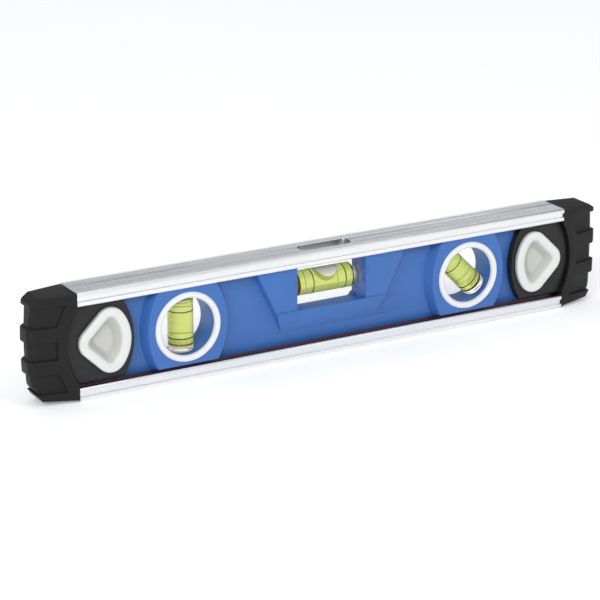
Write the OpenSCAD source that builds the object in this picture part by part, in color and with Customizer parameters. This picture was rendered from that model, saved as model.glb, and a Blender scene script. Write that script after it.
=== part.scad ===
// Torpedo spirit level: two aluminium rails joined by a moulded body that
// carries a level vial, a plumb vial and a 45 degree vial, with rubber ends.
// Origin: middle of the length and of the rail width, on the lower working face.
// X runs along the level, -Y is the main display face, +Z is up.

/* [Overall] */
// Length over the two bumpers
overall_l = 229; // [226:1:233]
// Height between the two working faces
height = 38; // [37.6:0.1:38.4]
// Length of each rail
rail_l = 195; // [193:1:196]
// Width of each rail
rail_w = 14; // [13.8:0.1:15]
// Thickness of each rail
rail_h = 4.8; // [4.6:0.1:4.9]

/* [Rail profile] */
// Distance from one groove of the working face to the next
rib_pitch = 1.1; // [1:0.05:1.15]
// Number of grooves in the working face
rib_count = 12; // [4:2:12]
// Width of a groove
rib_w = 0.4; // [0.2:0.05:0.6]
// Depth of a groove
rib_d = 0.25; // [0.1:0.05:0.4]
// Height of the sunk band along each side of a rail
band_h = 1.6; // [1:0.1:2.2]
// Depth of the sunk band
band_d = 0.6; // [0.2:0.1:1]
// Depth of the channel beside the web in a rail's inner face
channel_d = 1.2; // [0.6:0.1:1.3]
// Thickness of the lip left outside that channel
channel_lip = 0.9; // [0.8:0.1:1.4]
// Length of the sight slot over the level vial
slot_l = 20.6; // [16:0.2:24]
// Width of the sight slot
slot_w = 6.2; // [5:0.1:7]

/* [Body] */
// Thickness of the web between the rails
web_t = 5.4; // [5:0.1:6]
// How far forward of the middle the bosses and the panel reach
front_proud = 6.2; // [5.8:0.1:6.6]
// How far back they reach
back_proud = 4.2; // [4:0.1:5]
// Distance of the round bosses from the middle of the length
boss_x = 56.5; // [54:0.5:58]
// Half the width of a round boss at mid height
boss_half_w = 15; // [14:0.5:15.5]
// Radius of the curved sides of a boss
boss_side_r = 26.5; // [24:0.5:32]
// Radius of the sight holes
sight_r = 10.15; // [9.9:0.05:10.3]
// Width of the window for the level vial
window_w = 27.6; // [26:0.2:28.4]
// Height of the window sill and of the panel's ledge
sill_z = 17.6; // [17:0.1:18]
// Height where the sloping foot of the panel meets the web
panel_foot_z = 9.4; // [8.6:0.1:12]
// Half the width of the panel under the upper rail
panel_half_w = 29.5; // [28:0.1:30]
// How far each side of the panel leans in towards its foot
panel_lean = 25.7; // [20:0.1:27]
// Width of the ledge where the panel's face steps back above its foot
panel_step = 0.4; // [0.2:0.1:0.6]
// Draft of the round bosses' walls
draft = 1.6; // [1:0.1:2]
// Gap between the raised parts and the lower rail
ledge_gap = 1; // [0.4:0.1:1.4]
// How far the window's sill drops from the front to the back
sill_drop = 1.4; // [0:0.1:2]

/* [Bezel rings] */
// Outer radius of a bezel ring
bezel_r = 12.4; // [12:0.1:13]
// Depth of the seat that a bezel ring lies in
bezel_seat = 0.8; // [0.4:0.1:1.2]
// Rim of the body left showing inside a back bezel ring
back_rim = 0.8; // [0.7:0.1:1]

/* [Vials] */
// Outer radius of every vial
vial_r = 4.5; // [4.4:0.05:4.55]
// Bore radius at the middle of a vial
bore_mid_r = 3.75; // [3.7:0.01:3.8]
// Bore radius at the ends of the liquid
bore_end_r = 3.6; // [3.5:0.01:3.65]
// Distance of the vial axes in front of the middle of the rails
vial_forward = 0.3; // [0.3:0.05:0.6]
// Height of the level vial's axis
level_z = 25.6; // [25:0.1:26]
// Reach of the level vial's barrel to the left of its lines' middle
level_left = 12.3; // [11.8:0.1:12.8]
// Reach of the level vial's barrel to the right of its lines' middle
level_right = 10; // [9.6:0.1:12.8]
// Distance between the level vial's lines
level_mark_gap = 13; // [12:0.1:14]
// Length over the stubs that hold the level vial
level_stubs_l = 30.4; // [29.6:0.2:31]
// Radius of those stubs
stub_r = 2.8; // [2.4:0.1:3]
// Length of the plumb vial and of the 45 degree vial
cross_l = 19.4; // [19:0.1:19.6]
// Length of the plug in their lower end
plug_l = 2.9; // [2.4:0.1:3.4]
// Distance between their lines
cross_mark_gap = 9.5; // [9:0.1:10]
// How far the 45 degree vial lies up along its slope
angle_vial_up = 0.5; // [0:0.1:0.5]
// Width of a line
mark_w = 0.35; // [0.2:0.05:0.5]

/* [Ends] */
// How far a core reaches in from the rail's end, at mid height
core_reach = 21.3; // [20.6:0.1:22.4]
// Half the thickness of a core
core_half_t = 5; // [4.6:0.1:5.2]
// How far a bumper's side tapers in towards its end
bumper_taper = 2.6; // [2:0.1:3]
// How far the treads stand proud
tread = 0.9; // [0.4:0.1:1]
// Step from the lower working face in to the bumper
bumper_inset = 0.7; // [0.4:0.1:1]
// Step from the upper working face in to the bumper
bumper_top_inset = 0.4; // [0.2:0.1:1]
// Depth of the inserts' pockets below their rims
pocket_d = 3.2; // [2:0.1:3.4]
// Width of an insert's rim
rim_w = 3.1; // [2.6:0.1:3.4]

/* [Hidden] */
$fn = 96;
mid_z = height / 2 + 0.2;
web_top = height - rail_h;
tongue_t = 4.2;
tongue_h = 1.5;
web_end = rail_l / 2 - 15.5;
rail_end = rail_l / 2;
body_end = overall_l / 2;
wall_x = boss_half_w - boss_side_r;
panel_draft = 0.5;
gusset = 2.3;
vial_y = -vial_forward;
far = 200;

// The closed upper end of the plumb and 45 degree vials, the heads in the level vial's ends,
// and the ends of each liquid as seen from the middle of the lines
closed_t = 0.6;
head_t = 0.6;
cross_low = plug_l - cross_l / 2;
cross_high = cross_l / 2 - closed_t;
level_low = head_t - level_left;
level_high = level_right - head_t;

// Bubbles
level_bubble_l = 9.6;
level_bubble_d = 2.7;
cross_bubble_h = 2.2;
cross_bubble_r = 5.5;
bubble_gap = 0.1;

// Cores: the inner edge's arc, the arc along the bumper with the groove left there, and the
// tongue inside the bumper
core_arc_r = 24.7;
cut_r = 26;
cut_x = rail_end + 3.6;
core_groove = 0.5;
spigot_l = 9.5;
spigot_h = 22;

// Insert outline: the middles of its three corner arcs and of its inner side's arc
corner_r = 5.5;
corner_x = rail_end - 12.2;
corner_rise = 5.95;
apex_x = rail_end - 6.1;
bulge_x = rail_end - 4.35;
insert_z = mid_z + 0.3;
insert_front = 6.7;
insert_back = web_t / 2;

// Bumpers: side view of the end, and the sunk blocks between its treads
end_r = 95;
end_chamfer = 2;
block_x = rail_end + 7;
block_lean = 3.1;
low_block = [4.1, 10.9];
mid_block = [15.7, 22.1];
high_block = [27.1, 34.3];

// ---- Placing ----

// Turns a flat outline drawn as (x, z) into a plate between two depths
module plate(y0, y1) {
    translate([0, y1, 0]) rotate([90, 0, 0]) linear_extrude(y1 - y0) children();
}

// The right-hand piece, or its mirror image on the left
module on_side(side) {
    mirror([side < 0 ? 1 : 0, 0, 0]) children();
}

module on_face(face) {
    mirror([0, face < 0 ? 1 : 0, 0]) children();
}

// The three vials are drawn upright about their own middle
module at_level_vial() {
    translate([0, vial_y, level_z]) rotate([0, 90, 0]) children();
}

module at_plumb_vial() {
    translate([-boss_x, vial_y, mid_z]) children();
}

module at_angle_vial() {
    translate([boss_x, vial_y, mid_z]) rotate([0, -45, 0])
        translate([0, 0, angle_vial_up]) children();
}

// ---- Rails ----

// Section of a rail, with its working face at the bottom
module rail_section() {
    difference() {
        translate([-rail_w / 2, 0]) square([rail_w, rail_h]);
        for (i = [0 : rib_count - 1])
            translate([(i - (rib_count - 1) / 2) * rib_pitch - rib_w / 2, -rib_w])
                square([rib_w, rib_w + rib_d]);
        for (side = [0, 1])
            mirror([side, 0]) translate([web_t / 2, rail_h - channel_d])
                square([rail_w / 2 - channel_lip - web_t / 2, channel_d + 1]);
        for (side = [-1, 1]) {
            translate([side * rail_w / 2, rail_h / 2])
                square([2 * band_d, band_h], center = true);
            for (z = [0, rail_h])
                translate([side * rail_w / 2, z]) rotate(45) square(0.5, center = true);
        }
        translate([-tongue_t / 2, rail_h - tongue_h]) square([tongue_t, tongue_h + 1]);
    }
}

module rail() {
    color("gainsboro") rotate([90, 0, 90])
        linear_extrude(rail_l, center = true) rail_section();
}

module bottom_rail() {
    rail();
}

module top_rail() {
    color("gainsboro") difference() {
        translate([0, 0, height]) mirror([0, 0, 1]) rail();
        for (side = [-1, 1])
            translate([side * (slot_l - slot_w) / 2, vial_y, web_top - 1])
                cylinder(h = rail_h + 2, d = slot_w);
        translate([0, vial_y, height - rail_h / 2])
            cube([slot_l - slot_w, slot_w, rail_h + 2], center = true);
    }
}

// ---- Body ----

// One drafted boss, with curved sides, reaching out from the middle to a depth
module boss(reach) {
    intersection() {
        boss_side(reach, -1);
        boss_side(reach, 1);
        translate([-far / 2, 0, rail_h + ledge_gap])
            cube([far, reach, web_top - rail_h - ledge_gap]);
    }
}

module boss_side(reach, side) {
    translate([side * wall_x, 0, mid_z]) rotate([-90, 0, 0])
        cylinder(h = reach, r1 = boss_side_r + draft * reach / (front_proud - web_t / 2),
                 r2 = boss_side_r, $fn = 180);
}

// The raised panel round the window, with a sloping foot and leaning, drafted sides
module panel(reach) {
    foot = web_t / 2;
    difference() {
        rotate([90, 0, 90]) linear_extrude(far / 2, center = true)
            polygon([[0, web_top], [reach - panel_step, web_top], [reach - panel_step, sill_z],
                     [reach, sill_z], [foot, panel_foot_z], [0, panel_foot_z]]);
        for (side = [-1, 1])
            on_side(side) translate([panel_half_w, reach, web_top])
                rotate([0, panel_lean, 0])
                rotate([0, 0, atan(panel_draft / (reach - foot))])
                translate([0, -far / 2, -far / 2]) cube(far);
    }
}

// The sill falls towards the back, where a gusset fills each lower corner
module window() {
    low = sill_z - sill_drop;
    difference() {
        rotate([90, 0, 90]) linear_extrude(window_w, center = true)
            polygon([[-front_proud - 1, sill_z], [-front_proud, sill_z], [back_proud, low],
                     [back_proud + 1, low], [back_proud + 1, web_top + 2 * tongue_h],
                     [-front_proud - 1, web_top + 2 * tongue_h]]);
        for (side = [-1, 1])
            translate([side * window_w / 2, back_proud, low]) rotate([0, 45, 0])
                cube([gusset, web_t, gusset], center = true);
    }
}

module sight_holes() {
    for (side = [-1, 1])
        translate([side * boss_x, 0, mid_z]) rotate([90, 0, 0]) {
            cylinder(h = far, r = sight_r, center = true);
            translate([0, 0, front_proud - bezel_seat]) cylinder(h = 5, r = bezel_r);
            translate([0, 0, -back_proud - 1]) difference() {
                cylinder(h = bezel_seat + 1, r = bezel_r);
                cylinder(h = far, r = sight_r + back_rim, center = true);
            }
        }
}

module vial_sockets() {
    at_level_vial() cylinder(h = level_stubs_l, r = stub_r, center = true);
    at_plumb_vial() cylinder(h = cross_l, r = vial_r, center = true);
    at_angle_vial() cylinder(h = cross_l, r = vial_r, center = true);
}

module body() {
    color("royalblue") difference() {
        union() {
            translate([-web_end, -web_t / 2, rail_h])
                cube([2 * web_end, web_t, web_top - rail_h]);
            translate([-web_end, -tongue_t / 2, rail_h - tongue_h])
                cube([2 * web_end, tongue_t, web_top - rail_h + 2 * tongue_h]);
            for (face = [-1, 1])
                on_face(face) {
                    reach = face < 0 ? front_proud : back_proud;
                    for (side = [-1, 1]) translate([side * boss_x, 0, 0]) boss(reach);
                    panel(reach);
                }
        }
        window();
        sight_holes();
        vial_sockets();
    }
}

// ---- Bezel rings ----

module bezel(side, face) {
    inner = face < 0 ? sight_r : sight_r + back_rim;
    seat = face < 0 ? front_proud - bezel_seat : back_proud - bezel_seat;
    band = bezel_r - inner;
    foot_h = 0.5;
    color("white") on_face(face)
        translate([side * boss_x, seat, mid_z]) rotate([-90, 0, 0])
        rotate_extrude() {
            translate([inner, 0]) square([band, foot_h]);
            intersection() {
                translate([inner + band / 2, foot_h]) circle(d = band);
                translate([inner, 0]) square([band, band]);
            }
        }
}

// ---- Ends ----

function arc(middle, r, from, to, steps) =
    [for (i = [0 : steps]) let (a = from + (to - from) * i / steps)
        middle + r * [cos(a), sin(a)]];

// Rounded triangle with its point outwards and a bulging inner side
module insert_outline(inset) {
    r = corner_r - inset;
    low = [corner_x, insert_z - corner_rise];
    high = [corner_x, insert_z + corner_rise];
    apex = [apex_x, insert_z];
    bulge = [bulge_x, insert_z];
    edge_a = atan2(apex_x - corner_x, corner_rise);
    bulge_a = atan2(corner_rise, corner_x - bulge_x);
    polygon(concat(
        arc(low, r, -bulge_a, -edge_a, 12),
        arc(apex, r, -edge_a, edge_a, 16),
        arc(high, r, edge_a, bulge_a, 12),
        arc(bulge, norm(high - bulge) + r, bulge_a, 360 - bulge_a, 28)));
}

// A drafted inner edge, an outer edge along the bumper's arc, and a gap to the lower rail
module core_plates() {
    low = rail_h + ledge_gap;
    intersection() {
        translate([rail_end - core_reach - 1, -core_half_t, low])
            cube([far, 2 * core_half_t, web_top - low]);
        translate([rail_end - core_reach + core_arc_r, 0, mid_z])
            union() {
                for (face = [-1, 1])
                    rotate([90 * face, 0, 0])
                        cylinder(h = core_half_t, r1 = core_arc_r + 1, r2 = core_arc_r, $fn = 180);
                translate([0, -core_half_t, -far / 2]) cube([far, 2 * core_half_t, far]);
            }
        bumper_arc(core_groove);
    }
}

// The inner slab fills the end of the web's slot and runs on into the bumper
module core_slab() {
    translate([web_end, -web_t / 2, rail_h])
        cube([rail_end - web_end, web_t, web_top - rail_h]);
    translate([web_end, -web_t / 2, mid_z - spigot_h / 2])
        cube([rail_end - web_end + spigot_l, web_t, spigot_h]);
}

module bumper_arc(inset) {
    translate([cut_x - cut_r, 0, mid_z]) rotate([90, 0, 0])
        cylinder(h = far, r = cut_r - inset, center = true, $fn = 180);
}

module cap_core(side) {
    color("dimgray") on_side(side) difference() {
        union() {
            core_plates();
            core_slab();
        }
        translate([0, -web_t / 2, 0]) cube([web_end, web_t, height]);
        for (face = [-1, 1])
            on_face(face) plate(insert_back, far) insert_outline(0);
    }
}

module insert(side, face) {
    color("white") on_side(side) on_face(face) difference() {
        plate(insert_back, insert_front) insert_outline(0);
        plate(insert_front - pocket_d, far) insert_outline(rim_w);
    }
}

// A bumper's outer shape as seen from the front
module bumper_side(tip) {
    intersection() {
        translate([tip - end_r, mid_z]) circle(end_r, $fn = 180);
        polygon([[rail_end, bumper_inset], [tip - 4.4, bumper_inset + 1], [tip - 0.6, 7],
                 [tip, mid_z], [tip, height - 6], [tip - 1, height - 2.6],
                 [tip - 4.4, height - bumper_top_inset],
                 [rail_end, height - bumper_top_inset]]);
    }
}

// Outer shape of a bumper; grow is how far it stands outside the sunk blocks' floor
module bumper_shape(grow) {
    tip = body_end - tread + grow;
    half_t = rail_w / 2 - tread + grow;
    near = half_t - bumper_taper;
    intersection() {
        plate(-far, far) bumper_side(tip);
        linear_extrude(height)
            polygon([[rail_end, -half_t], [tip - end_chamfer, -near],
                     [tip, end_chamfer - near], [tip, near - end_chamfer],
                     [tip - end_chamfer, near], [rail_end, half_t]]);
    }
}

// The sunk blocks between the treads, as seen from the front
module blocks() {
    translate([block_x, mid_block[0]]) square([far, mid_block[1] - mid_block[0]]);
    polygon([[block_x, low_block[1]], [block_x - block_lean, low_block[0]],
             [far, low_block[0]], [far, low_block[1]]]);
    polygon([[block_x, high_block[0]], [far, high_block[0]], [far, high_block[1]],
             [block_x - block_lean, high_block[1]]]);
}

module bumper(side) {
    color("#2c2c2c") on_side(side) difference() {
        bumper_shape(tread);
        difference() {
            plate(-far, far) blocks();
            bumper_shape(0);
        }
        core_slab();
        bumper_arc(0);
    }
}

// ---- Vials, drawn upright about their middle ----

// The bore is widest between the lines, so that a bubble settles there
module bore(low, high) {
    cylinder(h = high, r1 = bore_mid_r, r2 = bore_end_r);
    mirror([0, 0, 1]) cylinder(h = -low, r1 = bore_mid_r, r2 = bore_end_r);
}

module mark_rings(gap, grow) {
    for (end = [-1, 1])
        translate([0, 0, end * gap / 2]) difference() {
            cylinder(h = mark_w, r = vial_r + grow, center = true);
            cylinder(h = 2 * mark_w, r = vial_r - 0.2, center = true);
        }
}

module level_barrel() {
    color("lightcyan", 0.35) difference() {
        translate([0, 0, -level_left]) cylinder(h = level_left + level_right, r = vial_r);
        cylinder(h = 2 * level_stubs_l, r = bore_end_r, center = true);
        bore(level_low, level_high);
        mark_rings(level_mark_gap, 1);
    }
}

// Closed at the top; the plug goes in from below
module cross_barrel() {
    color("lightcyan", 0.35) difference() {
        cylinder(h = cross_l, r = vial_r, center = true);
        bore(cross_low, cross_high);
        translate([0, 0, -cross_l / 2 - 1]) cylinder(h = plug_l + 1, r = bore_end_r);
        mark_rings(cross_mark_gap, 1);
    }
}

// A head in one end of the level vial's barrel, with a stub that goes into the body
module level_plug(barrel_reach) {
    translate([0, 0, barrel_reach - head_t]) {
        cylinder(h = head_t, r = bore_end_r);
        cylinder(h = level_stubs_l / 2 - barrel_reach + head_t, r = stub_r);
    }
}

module level_plugs() {
    color("whitesmoke", 0.5) {
        level_plug(level_right);
        mirror([0, 0, 1]) level_plug(level_left);
    }
}

module cross_plug() {
    color("whitesmoke", 0.5)
        translate([0, 0, -cross_l / 2]) cylinder(h = plug_l, r = bore_end_r);
}

module vial_marks(gap) {
    color("black") mark_rings(gap, 0);
}

// The bubble of a lying vial: long and shallow, up against the top of the bore.
// A ball of this radius gives it its length and depth.
level_ball_r = (pow(level_bubble_l / 2, 2) + pow(level_bubble_d, 2)) / (2 * level_bubble_d);

module lying_bubble(top_r, grow) {
    intersection() {
        rotate([0, 90, 0]) cylinder(h = level_bubble_l + 2, r = top_r, center = true);
        translate([0, 0, bore_mid_r - bubble_gap - level_bubble_d + level_ball_r])
            sphere(level_ball_r + grow);
    }
}

// The bubble of a standing vial: across the whole bore, with a rounded underside
module standing_bubble(side_r, top_z, grow) {
    intersection() {
        translate([0, 0, top_z - 2 * cross_bubble_h]) cylinder(h = 2 * cross_bubble_h, r = side_r);
        translate([0, 0, cross_high - bubble_gap - cross_bubble_h + cross_bubble_r])
            sphere(cross_bubble_r + grow);
    }
}

module cross_fluid() {
    color("#cfe07a", 0.7) difference() {
        bore(cross_low, cross_high);
        standing_bubble(vial_r, cross_high + 1, bubble_gap);
    }
}

module cross_bubble() {
    color("white", 0.4)
        standing_bubble(bore_end_r - bubble_gap, cross_high - bubble_gap, 0);
}

module level_vial_fluid() {
    color("#cfe07a", 0.7) difference() {
        at_level_vial() bore(level_low, level_high);
        translate([0, vial_y, level_z]) lying_bubble(vial_r, bubble_gap);
    }
}

module level_bubble() {
    color("white", 0.4)
        translate([0, vial_y, level_z]) lying_bubble(bore_end_r - bubble_gap / 2, 0);
}

top_rail();
bottom_rail();
body();
cap_core(-1);  // left_cap_core
cap_core(1);  // right_cap_core
bumper(-1);  // left_bumper
bumper(1);  // right_bumper
insert(-1, -1);  // front_left_insert
insert(1, -1);  // front_right_insert
insert(-1, 1);  // back_left_insert
insert(1, 1);  // back_right_insert
bezel(-1, -1);  // front_plumb_bezel
bezel(1, -1);  // front_angle_bezel
bezel(-1, 1);  // back_plumb_bezel
bezel(1, 1);  // back_angle_bezel
at_level_vial() level_barrel();  // level_vial_barrel
at_level_vial() level_plugs();  // level_vial_plugs
at_level_vial() vial_marks(level_mark_gap);  // level_vial_marks
level_vial_fluid();
level_bubble();
at_plumb_vial() cross_barrel();  // plumb_vial_barrel
at_plumb_vial() cross_plug();  // plumb_vial_plug
at_plumb_vial() vial_marks(cross_mark_gap);  // plumb_vial_marks
at_plumb_vial() cross_fluid();  // plumb_vial_fluid
at_plumb_vial() cross_bubble();  // plumb_bubble
at_angle_vial() cross_barrel();  // angle_vial_barrel
at_angle_vial() cross_plug();  // angle_vial_plug
at_angle_vial() vial_marks(cross_mark_gap);  // angle_vial_marks
at_angle_vial() cross_fluid();  // angle_vial_fluid
at_angle_vial() cross_bubble();  // angle_bubble
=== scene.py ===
"""Looks of the torpedo spirit level: camera, studio, finer meshes and materials."""
import math

import bmesh
import bpy
from mathutils import Matrix, Vector

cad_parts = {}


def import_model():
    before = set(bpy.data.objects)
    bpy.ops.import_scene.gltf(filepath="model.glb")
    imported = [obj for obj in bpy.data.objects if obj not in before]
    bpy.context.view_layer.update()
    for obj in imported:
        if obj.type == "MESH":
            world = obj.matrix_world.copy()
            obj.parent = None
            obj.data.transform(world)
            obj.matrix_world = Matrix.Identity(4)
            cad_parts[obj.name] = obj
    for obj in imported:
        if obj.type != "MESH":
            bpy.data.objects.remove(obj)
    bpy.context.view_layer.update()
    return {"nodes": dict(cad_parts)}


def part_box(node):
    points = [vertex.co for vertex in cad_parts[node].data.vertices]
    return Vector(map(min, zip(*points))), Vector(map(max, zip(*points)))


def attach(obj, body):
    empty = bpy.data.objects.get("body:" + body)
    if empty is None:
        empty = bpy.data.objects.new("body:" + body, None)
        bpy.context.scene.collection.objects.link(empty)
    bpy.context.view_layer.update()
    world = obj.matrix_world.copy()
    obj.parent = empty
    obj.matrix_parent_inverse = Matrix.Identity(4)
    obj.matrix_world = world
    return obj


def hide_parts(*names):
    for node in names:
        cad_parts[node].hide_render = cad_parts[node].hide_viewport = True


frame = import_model()
nodes = frame["nodes"]
MM = 0.001


# ---- Sizes taken from the frame ----

def middle(name):
    low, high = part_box(name)
    return (Vector(low) + Vector(high)) / 2


def size(name):
    low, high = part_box(name)
    return Vector(high) - Vector(low)


RAIL_END = size("top_rail").x / 2
POCKET_D = 3.2 * MM
HALF_H = (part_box("top_rail")[1][2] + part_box("bottom_rail")[0][2]) / 2
# Where the rails get painted shade and painted shadow: half width, and depths under their outer
# faces
GROOVES_HALF_W = 6.2 * MM
GROOVE_SHADE_D = 0.02 * MM
CHANNEL_SHADE_D = 3.4 * MM
VIAL_R = size("plumb_vial_barrel").x / 2


# ---- Camera and studio ----

# Metres and degrees; AIM is where the lamps point
CAMERA_AT = (-0.4225, -0.7200, 0.2968)
CAMERA_YAW, CAMERA_PITCH, CAMERA_ROLL = 29.81, -18.54, -0.12
AIM = (0, 0, 0.02)


def camera():
    yaw, pitch, roll = (math.radians(a) for a in (CAMERA_YAW, CAMERA_PITCH, CAMERA_ROLL))
    data = bpy.data.cameras.new("camera")
    data.sensor_width = 36
    data.lens = 150.7
    data.shift_x, data.shift_y = 0.0022, 0.0029
    data.clip_start, data.clip_end = 0.05, 50
    cam = bpy.data.objects.new("camera", data)
    turn = Matrix.Rotation(-yaw, 4, "Z") @ Matrix.Rotation(math.pi / 2 + pitch, 4, "X")
    cam.matrix_world = (Matrix.Translation(CAMERA_AT) @ turn
                        @ Matrix.Rotation(roll, 4, "Z"))
    bpy.context.scene.collection.objects.link(cam)
    bpy.context.scene.camera = cam


def softbox(name, at, width, depth, watts):
    data = bpy.data.lights.new(name, "AREA")
    data.shape = "RECTANGLE"
    data.size, data.size_y = width, depth
    data.energy = watts
    lamp = bpy.data.objects.new(name, data)
    lamp.location = at
    lamp.rotation_euler = (Vector(AIM) - Vector(at)).to_track_quat("-Z", "Y").to_euler()
    bpy.context.scene.collection.objects.link(lamp)


def world():
    """A sky that is darker low down, so that the rails' tops mirror a soft grey."""
    made = bpy.data.worlds.new("studio")
    made.use_nodes = True
    tree = made.node_tree
    back = tree.nodes["Background"]
    place = tree.nodes.new("ShaderNodeTexCoord")
    split = tree.nodes.new("ShaderNodeSeparateXYZ")
    ramp = tree.nodes.new("ShaderNodeValToRGB")
    tree.links.new(place.outputs["Generated"], split.inputs[0])
    tree.links.new(split.outputs["Z"], ramp.inputs["Fac"])
    tree.links.new(ramp.outputs["Color"], back.inputs["Color"])
    low_sky = (0.40, 0.405, 0.42, 1)
    stops = ramp.color_ramp.elements
    stops[0].position, stops[0].color = 0.0, low_sky
    stops[1].position, stops[1].color = 1.0, (0.95, 0.96, 0.98, 1)
    bend = stops.new(0.45)
    bend.color = low_sky
    back.inputs["Strength"].default_value = 0.9
    bpy.context.scene.world = made


def floor():
    bpy.ops.mesh.primitive_plane_add(size=12, location=(0, 0, 0))
    plane = bpy.context.object
    plane.name = "floor"
    mat, shader, tree = new_material("floor")
    tree.links.new(tinted(tree, noise(tree, 14), (0.93, 0.93, 0.93), 0.004),
                   shader.inputs["Base Color"])
    shader.inputs["Roughness"].default_value = 0.9
    shader.inputs["Specular IOR Level"].default_value = 0.1
    shader.inputs["Emission Color"].default_value = (1, 1, 1, 1)
    shader.inputs["Emission Strength"].default_value = 0.22
    plane.data.materials.append(mat)


# ---- Materials ----

def new_material(name):
    mat = bpy.data.materials.new(name)
    mat.use_nodes = True
    tree = mat.node_tree
    return mat, tree.nodes["Principled BSDF"], tree


def noise(tree, scale, stretch=(1, 1, 1), detail=3.0):
    """Noise in object space, in metres; stretch multiplies its scale along each axis."""
    place = tree.nodes.new("ShaderNodeTexCoord")
    mapping = tree.nodes.new("ShaderNodeMapping")
    mapping.inputs["Scale"].default_value = stretch
    made = tree.nodes.new("ShaderNodeTexNoise")
    made.inputs["Scale"].default_value = scale
    made.inputs["Detail"].default_value = detail
    tree.links.new(place.outputs["Object"], mapping.inputs["Vector"])
    tree.links.new(mapping.outputs["Vector"], made.inputs["Vector"])
    return made.outputs["Fac"]


def spread(tree, value, low, high):
    """Noise turned into the range low to high."""
    made = tree.nodes.new("ShaderNodeMapRange")
    made.inputs["From Min"].default_value = 0.3
    made.inputs["From Max"].default_value = 0.7
    made.inputs["To Min"].default_value = low
    made.inputs["To Max"].default_value = high
    tree.links.new(value, made.inputs["Value"])
    return made.outputs["Result"]


def tinted(tree, value, colour, contrast):
    """colour, darker and lighter by contrast as noise runs through its range."""
    ramp = tree.nodes.new("ShaderNodeValToRGB")
    for stop, sign, place in zip(ramp.color_ramp.elements, (-1, 1), (0.3, 0.7)):
        stop.position = place
        stop.color = [min(1, c * (1 + sign * contrast)) for c in colour] + [1]
    tree.links.new(value, ramp.inputs["Fac"])
    return ramp.outputs["Color"]


def bump(tree, shader, value, height):
    made = tree.nodes.new("ShaderNodeBump")
    made.inputs["Distance"].default_value = height
    tree.links.new(value, made.inputs["Height"])
    tree.links.new(made.outputs["Normal"], shader.inputs["Normal"])


GRAIN = 0.25 * MM
GRAIN_H = 0.006 * MM


def moulded(name, colour, rough, grain=GRAIN, height=GRAIN_H, contrast=0.03, sheen=0.5):
    """Moulded plastic or rubber: fine spark-eroded grain, slight mottling of colour and gloss."""
    mat, shader, tree = new_material(name)
    fine = noise(tree, 1 / grain, detail=2)
    broad = noise(tree, 90, detail=4)
    tree.links.new(tinted(tree, broad, colour, contrast), shader.inputs["Base Color"])
    tree.links.new(spread(tree, broad, rough - 0.05, rough + 0.05), shader.inputs["Roughness"])
    shader.inputs["Specular IOR Level"].default_value = sheen
    bump(tree, shader, fine, height)
    return mat


def off_middle(tree, axis, centre):
    """Distance of a point from a plane across one axis, in object space."""
    place = tree.nodes.new("ShaderNodeTexCoord")
    split = tree.nodes.new("ShaderNodeSeparateXYZ")
    less = tree.nodes.new("ShaderNodeMath")
    less.operation = "SUBTRACT"
    less.inputs[1].default_value = centre
    distance = tree.nodes.new("ShaderNodeMath")
    distance.operation = "ABSOLUTE"
    tree.links.new(place.outputs["Object"], split.inputs[0])
    tree.links.new(split.outputs[axis], less.inputs[0])
    tree.links.new(less.outputs[0], distance.inputs[0])
    return distance.outputs[0]


def below(tree, value, limit):
    """1 where value is under limit, 0 elsewhere."""
    made = tree.nodes.new("ShaderNodeMath")
    made.operation = "LESS_THAN"
    made.inputs[1].default_value = limit
    tree.links.new(value, made.inputs[0])
    return made.outputs[0]


def darkened(tree, colour, mask, shade):
    """colour, turned into shade where mask is 1."""
    mix = tree.nodes.new("ShaderNodeMix")
    mix.data_type = "RGBA"
    mix.inputs["B"].default_value = (*shade, 1)
    tree.links.new(mask, mix.inputs["Factor"])
    tree.links.new(colour, mix.inputs["A"])
    return mix.outputs["Result"]


def both(tree, one, other):
    made = tree.nodes.new("ShaderNodeMath")
    made.operation = "MULTIPLY"
    tree.links.new(one, made.inputs[0])
    tree.links.new(other, made.inputs[1])
    return made.outputs[0]


def aluminium():
    """Extruded and satin, with fine die lines along the length; painted shade greys its grooves
    and a painted shadow darkens the channels beside the body."""
    mat, shader, tree = new_material("rail_aluminium")
    lines = noise(tree, 1, stretch=(3, 2500, 2500), detail=2)
    cloud = noise(tree, 40, detail=4)
    inside = below(tree, off_middle(tree, "Y", 0), GROOVES_HALF_W)
    height = off_middle(tree, "Z", HALF_H)
    groove_shade_mask = both(tree, inside, below(tree, height, HALF_H - GROOVE_SHADE_D))
    channel_shadow_mask = both(tree, inside, below(tree, height, HALF_H - CHANNEL_SHADE_D))
    colour = tinted(tree, lines, (0.86, 0.865, 0.875), 0.03)
    # Painted shade: the grooves sunk into the rail are greyed
    colour = darkened(tree, colour, groove_shade_mask, (0.40, 0.403, 0.41))
    # Painted shadow: the channels beside the body are made nearly black
    colour = darkened(tree, colour, channel_shadow_mask, (0.045, 0.026, 0.036))
    shader.inputs["Metallic"].default_value = 1.0
    tree.links.new(colour, shader.inputs["Base Color"])
    tree.links.new(spread(tree, cloud, 0.30, 0.38), shader.inputs["Roughness"])
    bump(tree, shader, lines, 0.002 * MM)
    return mat


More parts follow.
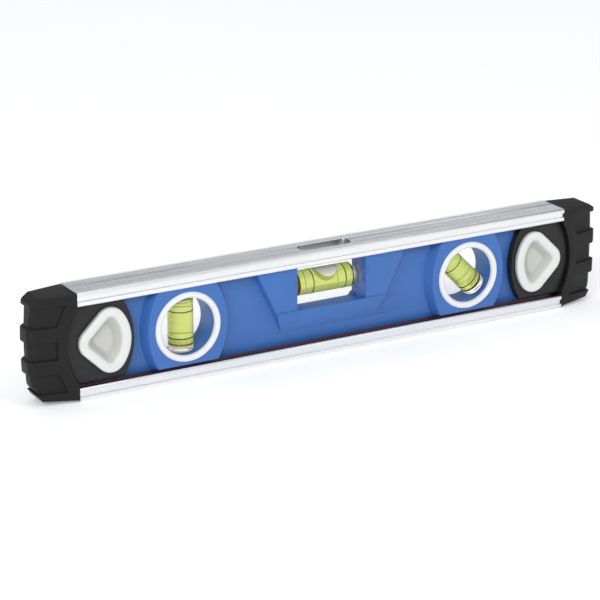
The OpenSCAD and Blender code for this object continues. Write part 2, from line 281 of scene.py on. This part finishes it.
def insert_plastic(name, rim_y):
    """White plastic with painted shade that greys it down its pocket's wall; rim_y is the rims'
    distance from y = 0.
    """
    mat, shader, tree = new_material(name)
    depth = tree.nodes.new("ShaderNodeMapRange")
    depth.inputs["From Min"].default_value = rim_y
    depth.inputs["From Max"].default_value = rim_y - POCKET_D
    ramp = tree.nodes.new("ShaderNodeValToRGB")
    tree.links.new(off_middle(tree, "Y", 0), depth.inputs["Value"])
    tree.links.new(depth.outputs["Result"], ramp.inputs["Fac"])
    # Painted shade: lightest on the rim, darkest down the wall, a little lighter on the pocket's
    # floor
    stops = ramp.color_ramp.elements
    stops[0].position, stops[0].color = 0.10, (0.74, 0.75, 0.74, 1)
    stops[1].position, stops[1].color = 1.0, (0.58, 0.58, 0.55, 1)
    for at, colour in ((0.35, (0.50, 0.51, 0.47)), (0.88, (0.46, 0.47, 0.43))):
        stops.new(at).color = (*colour, 1)
    tree.links.new(ramp.outputs["Color"], shader.inputs["Base Color"])
    broad = noise(tree, 90, detail=4)
    tree.links.new(spread(tree, broad, 0.33, 0.43), shader.inputs["Roughness"])
    bump(tree, shader, noise(tree, 1 / GRAIN, detail=2), GRAIN_H)
    return mat


def tinted_clear(name, colour, ior, painted_glow=(0, 0, 0), painted_glow_strength=0.0, clear=1.0):
    """Clear tinted material; its emission is painted light that brightens it from within, and what
    is not clear is cloudy."""
    mat, shader, tree = new_material(name)
    cloud = noise(tree, 160, detail=2)
    tree.links.new(tinted(tree, cloud, colour, 0.015), shader.inputs["Base Color"])
    shader.inputs["Transmission Weight"].default_value = clear
    shader.inputs["IOR"].default_value = ior
    shader.inputs["Roughness"].default_value = 0.02
    shader.inputs["Emission Color"].default_value = (*painted_glow, 1)
    shader.inputs["Emission Strength"].default_value = painted_glow_strength
    return mat


def clear_coat(name):
    """A thin polished wall: see-through, with a shine that grows towards its outline and is
    the same from both sides of each skin."""
    mat = bpy.data.materials.new(name)
    mat.use_nodes = True
    tree = mat.node_tree
    tree.nodes.remove(tree.nodes["Principled BSDF"])
    gloss = tree.nodes.new("ShaderNodeBsdfGlossy")
    gloss.inputs["Roughness"].default_value = 0.03
    through = tree.nodes.new("ShaderNodeBsdfTransparent")
    through.inputs["Color"].default_value = (0.985, 0.99, 0.98, 1)
    facing = tree.nodes.new("ShaderNodeLayerWeight")
    facing.inputs["Blend"].default_value = 0.5
    steep = tree.nodes.new("ShaderNodeMath")
    steep.operation = "POWER"
    steep.inputs[1].default_value = 4
    share = tree.nodes.new("ShaderNodeMath")
    share.operation = "MULTIPLY"
    share.inputs[1].default_value = 0.3
    tree.links.new(facing.outputs["Facing"], steep.inputs[0])
    tree.links.new(steep.outputs[0], share.inputs[0])
    mix = tree.nodes.new("ShaderNodeMixShader")
    tree.links.new(share.outputs[0], mix.inputs["Fac"])
    tree.links.new(through.outputs[0], mix.inputs[1])
    tree.links.new(gloss.outputs[0], mix.inputs[2])
    tree.links.new(mix.outputs[0], tree.nodes["Material Output"].inputs["Surface"])
    return mat


def bubble_air(name, centre, radius):
    """Pale, with a painted shade line where the bubble's round underside meets the bore."""
    mat, shader, tree = new_material(name)
    place = tree.nodes.new("ShaderNodeTexCoord")
    reach = tree.nodes.new("ShaderNodeVectorMath")
    reach.operation = "DISTANCE"
    reach.inputs[1].default_value = centre
    ramp = tree.nodes.new("ShaderNodeValToRGB")
    share = tree.nodes.new("ShaderNodeMath")
    share.operation = "DIVIDE"
    share.inputs[1].default_value = radius
    tree.links.new(place.outputs["Object"], reach.inputs[0])
    tree.links.new(reach.outputs["Value"], share.inputs[0])
    tree.links.new(share.outputs[0], ramp.inputs["Fac"])
    # Painted shade: darker towards the ball's surface, giving the dark line at the bubble's edge
    stops = ramp.color_ramp.elements
    stops[0].position, stops[0].color = 0.80, (0.76, 0.73, 0.66, 1)
    stops[1].position, stops[1].color = 1.0, (0.40, 0.43, 0.16, 1)
    for at, colour in ((0.93, (0.76, 0.73, 0.62)), (0.975, (0.66, 0.66, 0.42))):
        stops.new(at).color = (*colour, 1)
    tree.links.new(ramp.outputs["Color"], shader.inputs["Base Color"])
    shader.inputs["Roughness"].default_value = 0.25
    shader.inputs["Coat Weight"].default_value = 0.5
    return mat


# ---- Mesh tools ----

def add_piece(name, mesh, material, *stands_for, body="frame", slot=None, sharp=35):
    for poly in mesh.polygons:
        poly.use_smooth = True
    mesh.set_sharp_from_angle(angle=math.radians(sharp))
    mesh.materials.clear()
    mesh.materials.append(material)
    made = bpy.data.objects.new(name, mesh)
    bpy.context.scene.collection.objects.link(made)
    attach(made, body)
    if stands_for:
        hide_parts(*stands_for)
    return made


def rounded_mesh(node, width, segments=2, angle=28):
    """A copy of a CAD node's mesh with clean faces and rounded edges."""
    mesh = nodes[node].data.copy()
    work = bmesh.new()
    work.from_mesh(mesh)
    bmesh.ops.remove_doubles(work, verts=work.verts, dist=0.002 * MM)
    bmesh.ops.dissolve_limit(work, angle_limit=math.radians(0.6), verts=work.verts,
                             edges=work.edges)
    limit = math.radians(angle)
    edges = [e for e in work.edges if e.is_manifold and e.calc_face_angle(0) > limit]
    bmesh.ops.bevel(work, geom=edges, offset=width, segments=segments, profile=0.5,
                    affect="EDGES", clamp_overlap=True, harden_normals=False)
    bmesh.ops.recalc_face_normals(work, faces=work.faces)
    mesh.clear_geometry()
    work.to_mesh(mesh)
    work.free()
    mesh.name = node + "_rounded"
    return mesh


def ring_mesh(name, rings, close_start=True, close_end=True):
    """Skins a list of rings that all have the same number of points."""
    count = len(rings[0])
    points = [p for ring in rings for p in ring]
    faces = []
    for k in range(len(rings) - 1):
        for i in range(count):
            j = (i + 1) % count
            faces.append((k * count + i, k * count + j, (k + 1) * count + j,
                          (k + 1) * count + i))
    if close_start:
        faces.append(tuple(range(count - 1, -1, -1)))
    if close_end:
        faces.append(tuple((len(rings) - 1) * count + i for i in range(count)))
    mesh = bpy.data.meshes.new(name)
    mesh.from_pydata(points, [], faces)
    work = bmesh.new()
    work.from_mesh(mesh)
    bmesh.ops.remove_doubles(work, verts=work.verts, dist=0.0005 * MM)
    bmesh.ops.recalc_face_normals(work, faces=work.faces)
    work.to_mesh(mesh)
    work.free()
    return mesh


# How far a lathe profile's ends stand off the axis
ON_AXIS = 1e-6


def lathe(name, profile, place, steps=96, closed=False):
    """Turns (radius, height) points about Z; place takes the piece to where it belongs."""
    rings = [[place @ Vector((r * math.cos(2 * math.pi * i / steps),
                              r * math.sin(2 * math.pi * i / steps), z))
              for i in range(steps)] for r, z in profile]
    if closed:
        return ring_mesh(name, rings + [rings[0]], False, False)
    return ring_mesh(name, rings)


# ---- Inserts ----

INSERT_CORNER_R = 5.5 * MM
INSERT_CORNER_IN = 12.2 * MM
INSERT_RIM_INSET = 3.3 * MM
BULGE_IN = 7.85 * MM
POCKET_MIDDLE = 0.3
POCKET_SPAN = 0.62


def arc(at, radius, start, end, steps):
    return [Vector((at[0] + radius * math.cos(start + (end - start) * i / steps),
                    at[1] + radius * math.sin(start + (end - start) * i / steps)))
            for i in range(steps + 1)]


def insert_outline(reach, rise, inset):
    """The rounded triangle as (outwards, up) points about the middles of its two inner
    corners' line; reach is how far its point's arc lies out from that line."""
    radius = INSERT_CORNER_R - inset
    edge = math.atan2(reach, rise)
    side = math.atan2(rise, -BULGE_IN)
    bulge_r = math.hypot(BULGE_IN, rise) + radius
    return (arc((0, -rise), radius, -side, -edge, 12) + arc((reach, 0), radius, -edge, edge, 16)
            + arc((0, rise), radius, edge, side, 12)
            + arc((BULGE_IN, 0), bulge_r, side, 2 * math.pi - side, 28))


def insert_ring(reach, rise, inset):
    """Beyond the rim the outline shrinks towards its middle, so that its corners stay round;
    POCKET_MIDDLE is a share of reach and POCKET_SPAN a share of rise."""
    if inset <= INSERT_RIM_INSET:
        return insert_outline(reach, rise, inset)
    ring = insert_outline(reach, rise, INSERT_RIM_INSET)
    centre = Vector((POCKET_MIDDLE * reach, 0))
    share = 1 - (inset - INSERT_RIM_INSET) / (POCKET_SPAN * rise)
    return [centre + (p - centre) * share for p in ring]


def insert_mesh(name):
    low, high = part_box(name)
    side = 1 if low[0] > 0 else -1
    face = 1 if low[1] > 0 else -1
    inner_y, outer_y = sorted((abs(low[1]), abs(high[1])))
    rise = (high[2] - low[2]) / 2 - INSERT_CORNER_R
    corner_x = RAIL_END - INSERT_CORNER_IN
    reach = max(abs(low[0]), abs(high[0])) - INSERT_CORNER_R - corner_x
    mid_z = (low[2] + high[2]) / 2
    # (inset, depth under the rim) from the hidden back edge over the rim into the pocket
    steps = ((0.05, outer_y / MM - inner_y / MM), (0.0, 0.75), (0.07, 0.42), (0.3, 0.13),
             (0.7, 0.0), (1.3, -0.02), (2.3, 0.0), (2.8, 0.12), (3.1, 0.32), (3.3, 0.62),
             (3.6, 1.1), (4.5, 2.6), (4.9, 3.05), (5.4, 3.22), (6.1, 3.25))
    rings = [[Vector((side * (corner_x + p.x), face * (outer_y - depth * MM), mid_z + p.y))
              for p in insert_ring(reach, rise, inset * MM)] for inset, depth in steps]
    return ring_mesh(name + "_moulding", rings)


# ---- Vials ----

COAT_IN = VIAL_R - 0.04 * MM
LIQUID_R = VIAL_R - 0.08 * MM
BUBBLE_R = VIAL_R - 0.06 * MM
LINE_W = 0.35 * MM
STUB_R = 2.8 * MM
LEVEL_BUBBLE_D = 5 * MM
CROSS_BUBBLE_R = 8.2 * MM
WALL = 0.12 * MM
BUBBLE_GAP = 0.1 * MM
TOP_EDGE = 0.2 * MM
SEAL_L = 0.7 * MM
SKIN = 0.02 * MM


def barrel_mesh(name, low, high, place):
    """A thin wall closed at both ends: an outer skin with rounded ends, and an inner skin
    that faces inwards, chamfered so that it stays inside the rounding."""
    edge, end_t, chamfer = 0.2 * MM, 0.1 * MM, 0.15 * MM
    corner = [(VIAL_R - edge * (1 - math.cos(a)), edge * (1 - math.sin(a)))
              for a in (0, math.pi / 6, math.pi / 3, math.pi / 2)]
    outer = ([(ON_AXIS, low)] + [(r, low + z) for r, z in reversed(corner)]
             + [(r, high - z) for r, z in corner] + [(ON_AXIS, high)])
    inner = [(ON_AXIS, low + end_t), (COAT_IN - chamfer, low + end_t),
             (COAT_IN, low + end_t + chamfer), (COAT_IN, high - end_t - chamfer),
             (COAT_IN - chamfer, high - end_t), (ON_AXIS, high - end_t)]
    work = bmesh.new()
    work.from_mesh(lathe(name + "_inner", inner, place))
    bmesh.ops.reverse_faces(work, faces=work.faces)
    work.from_mesh(lathe(name + "_outer", outer, place))
    made = bpy.data.meshes.new(name)
    work.to_mesh(made)
    work.free()
    return made


def line_rings(name, gap, place):
    """Both printed lines as one mesh."""
    made = bpy.data.meshes.new(name)
    work = bmesh.new()
    sunk, proud = VIAL_R - 0.03 * MM, VIAL_R + 0.004 * MM
    for end in (-1, 1):
        low, high = end * gap / 2 - LINE_W / 2, end * gap / 2 + LINE_W / 2
        work.from_mesh(lathe(name + "_ring", [(sunk, low), (proud, low), (proud, high),
                                              (sunk, high)], place, closed=True))
    work.to_mesh(made)
    work.free()
    return made


def solid(name, radius, low, high, place, edge=0.15 * MM):
    profile = [(ON_AXIS, low), (radius - edge, low), (radius, low + edge), (radius, high - edge),
               (radius - edge, high), (ON_AXIS, high)]
    return lathe(name, profile, place)


def standing_bubble(name, low, high, ball_r, place):
    """Fills the bore between two heights, with a rounded underside."""
    centre = low + ball_r
    rim = centre - math.sqrt(ball_r ** 2 - BUBBLE_R ** 2)
    under = [(max(ON_AXIS, BUBBLE_R * k / 8),
              centre - math.sqrt(ball_r ** 2 - (BUBBLE_R * k / 8) ** 2)) for k in range(9)]
    mesh = lathe(name, under + [(BUBBLE_R, (rim + high) / 2), (BUBBLE_R - TOP_EDGE, high),
                                (ON_AXIS, high)], place)
    return mesh, place @ Vector((0, 0, centre))


def lying_bubble(name, at, length, depth):
    """Up against the top of the bore: cut from a ball that gives it its length and depth."""
    ball_r = (length ** 2 / 4 + depth ** 2) / (2 * depth)
    ball_z = BUBBLE_R - depth + ball_r
    rings, steps = [], 40
    # Just short of the tips and of the bore's top, so that no ring shrinks to a point
    reach, roof = length / 2 * 0.9995, BUBBLE_R * 0.99999
    for k in range(steps + 1):
        x = -reach * math.cos(math.pi * k / steps)
        part = math.sqrt(ball_r ** 2 - x ** 2)
        z = min((BUBBLE_R ** 2 - part ** 2 + ball_z ** 2) / (2 * ball_z), roof)
        y = math.sqrt(BUBBLE_R ** 2 - z ** 2)
        top = math.atan2(y, z)
        under = math.atan2(y, ball_z - z)
        over = [(BUBBLE_R * math.sin(top * (1 - i / 12)), BUBBLE_R * math.cos(top * (1 - i / 12)))
                for i in range(25)]
        below = [(part * math.sin(-under * (1 - i / 10)),
                  ball_z - part * math.cos(under * (1 - i / 10))) for i in range(1, 20)]
        rings.append([at + Vector((x, py, pz)) for py, pz in over + below])
    return ring_mesh(name, rings), at + Vector((0, 0, ball_z)), ball_r


def vial(kind, turn):
    """Barrel, lines, liquid, plugs and bubble of one vial, drawn upright about the middle
    of its lines."""
    at = middle(kind + "_vial_marks")
    place = Matrix.Translation(at) @ Matrix.Rotation(math.radians(turn), 4, "Y")
    like = "level" if kind == "level" else "plumb"
    axis = 0 if kind == "level" else 2
    centre = middle(like + "_vial_marks")[axis]
    barrel_low, barrel_high = (end[axis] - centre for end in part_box(like + "_vial_barrel"))
    low, high = (end[axis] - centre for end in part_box(like + "_vial_fluid"))
    if kind != "level":
        # The CAD liquid stops at the rim of its bubble's hollow; the bore goes on to here
        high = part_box("plumb_bubble")[1][axis] - centre + BUBBLE_GAP
    gap = size(like + "_vial_marks")[axis] - LINE_W
    add_piece(kind + "_tube", barrel_mesh(kind + "_tube", barrel_low, barrel_high, place), coat,
              kind + "_vial_barrel")
    add_piece(kind + "_lines", line_rings(kind + "_lines", gap, place), black,
              kind + "_vial_marks")
    add_piece(kind + "_liquid", solid(kind + "_liquid", LIQUID_R, low, high, place), liquid,
              kind + "_vial_fluid", slot="vial_liquid")
    if kind == "level":
        level_ends(place, (barrel_low, low), (barrel_high, high))
        mesh, ball, ball_r = lying_bubble("level_air", at, size("level_bubble").x,
                                          LEVEL_BUBBLE_D)
    else:
        cross_end(kind, place, barrel_low, low)
        ball_r = CROSS_BUBBLE_R
        mesh, ball = standing_bubble(kind + "_air", high - size("plumb_bubble").z,
                                     high - SKIN, ball_r, place)
    add_piece(kind + "_air", mesh, bubble_air(kind + "_air", ball, ball_r), kind + "_bubble",
              body=kind + "_bubble", slot="bubble_air")


def level_ends(place, left, right):
    """The seal inside each end of the barrel, and the stub that goes on into the body."""
    stubs_half, edge = size("level_vial_plugs").x / 2, 0.4 * MM
    for label, sign, (barrel_end, fill_end) in (("left", -1, left), ("right", 1, right)):
        way = place @ Matrix.Rotation(math.pi if sign < 0 else 0, 4, "X")
        reach = sign * barrel_end
        seal = solid("level_seal_" + label, LIQUID_R, sign * fill_end + SKIN, reach - WALL, way)
        add_piece("level_seal_" + label, seal, amber, "level_vial_plugs", slot="plug_acrylic")
        stub = lathe("level_stub_" + label,
                     [(ON_AXIS, reach + SKIN), (STUB_R, reach + SKIN), (STUB_R, stubs_half - edge),
                      (STUB_R - edge, stubs_half), (ON_AXIS, stubs_half)], way)
        add_piece("level_stub_" + label, stub, plug_clear, "level_vial_plugs",
                  slot="plug_acrylic")


def cross_end(kind, place, barrel_end, fill_end):
    """The amber seal under the liquid, and the grooved clear plug under the seal."""
    seal_end = fill_end - SEAL_L
    add_piece(kind + "_seal", solid(kind + "_seal", LIQUID_R, seal_end, fill_end - SKIN, place,
                                    0.1 * MM), amber, kind + "_vial_plug", slot="plug_acrylic")
    top = seal_end - SKIN
    # (inset, height over the barrel's end) up the plug's side, with a groove round it
    side = ((0.3, WALL / MM), (0, 0.5), (0, 0.9), (0.35, 1.1), (0.35, 1.4), (0, 1.6))
    profile = ([(ON_AXIS, barrel_end + WALL)]
               + [(LIQUID_R - inset * MM, barrel_end + up * MM) for inset, up in side]
               + [(LIQUID_R, top), (ON_AXIS, top)])
    add_piece(kind + "_plug", lathe(kind + "_plug", profile, place), plug_clear,
              kind + "_vial_plug", slot="plug_acrylic")


camera()
world()
floor()
softbox("key", (-0.9, -0.8, 0.75), 0.9, 0.7, 9)
softbox("fill", (0.7, -0.9, 0.6), 0.8, 0.7, 3)
softbox("back", (0.1, 0.9, 1.1), 1.2, 0.5, 1.6)

blue = moulded("body_blue", (0.040, 0.145, 0.45), 0.4, contrast=0.04)
core_black = moulded("core_black", (0.012, 0.012, 0.0125), 0.45, sheen=0.4)
rubber = moulded("bumper_rubber", (0.007, 0.007, 0.0075), 0.56, grain=0.35 * MM,
                 height=0.02 * MM, contrast=0.15, sheen=0.3)
white = moulded("white_plastic", (0.80, 0.81, 0.825), 0.32, contrast=0.01)
# The inserts' white carries painted shade down their pockets
ivory = insert_plastic("insert_white", -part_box("front_left_insert")[0][1])
metal = aluminium()
black = moulded("mark_black", (0.01, 0.01, 0.01), 0.4)
coat = clear_coat("vial_acrylic")
# The emission given to the liquid and to the clear plugs below is painted light
liquid = tinted_clear("vial_liquid", (0.70, 0.76, 0.24), 1.36, (0.52, 0.58, 0.12), 0.10,
                      clear=0.7)
amber = tinted_clear("seal_amber", (0.80, 0.48, 0.14), 1.40)
plug_clear = tinted_clear("plug_acrylic", (0.95, 0.93, 0.88), 1.45, (0.8, 0.8, 0.7), 0.08)

for rail in ("top_rail", "bottom_rail"):
    add_piece(rail + "_extrusion", rounded_mesh(rail, 0.06 * MM, 1, 40), metal, rail)
add_piece("moulded_body", rounded_mesh("body", 0.5 * MM, 3), blue, "body")
for side in ("left", "right"):
    add_piece(side + "_core", rounded_mesh(side + "_cap_core", 0.35 * MM, 3), core_black,
              side + "_cap_core")
    add_piece(side + "_end_cap", rounded_mesh(side + "_bumper", 0.4 * MM, 3), rubber,
              side + "_bumper")
for name in list(nodes):
    if name.endswith("insert"):
        add_piece(name + "_moulding", insert_mesh(name), ivory, name, sharp=60)
    elif name.endswith("bezel"):
        add_piece(name + "_ring", rounded_mesh(name, 0.15 * MM, 2, 50), white, name)
vial("level", 90)
vial("plumb", 0)
vial("angle", -45)

bpy.context.scene.view_settings.view_transform = "Standard"
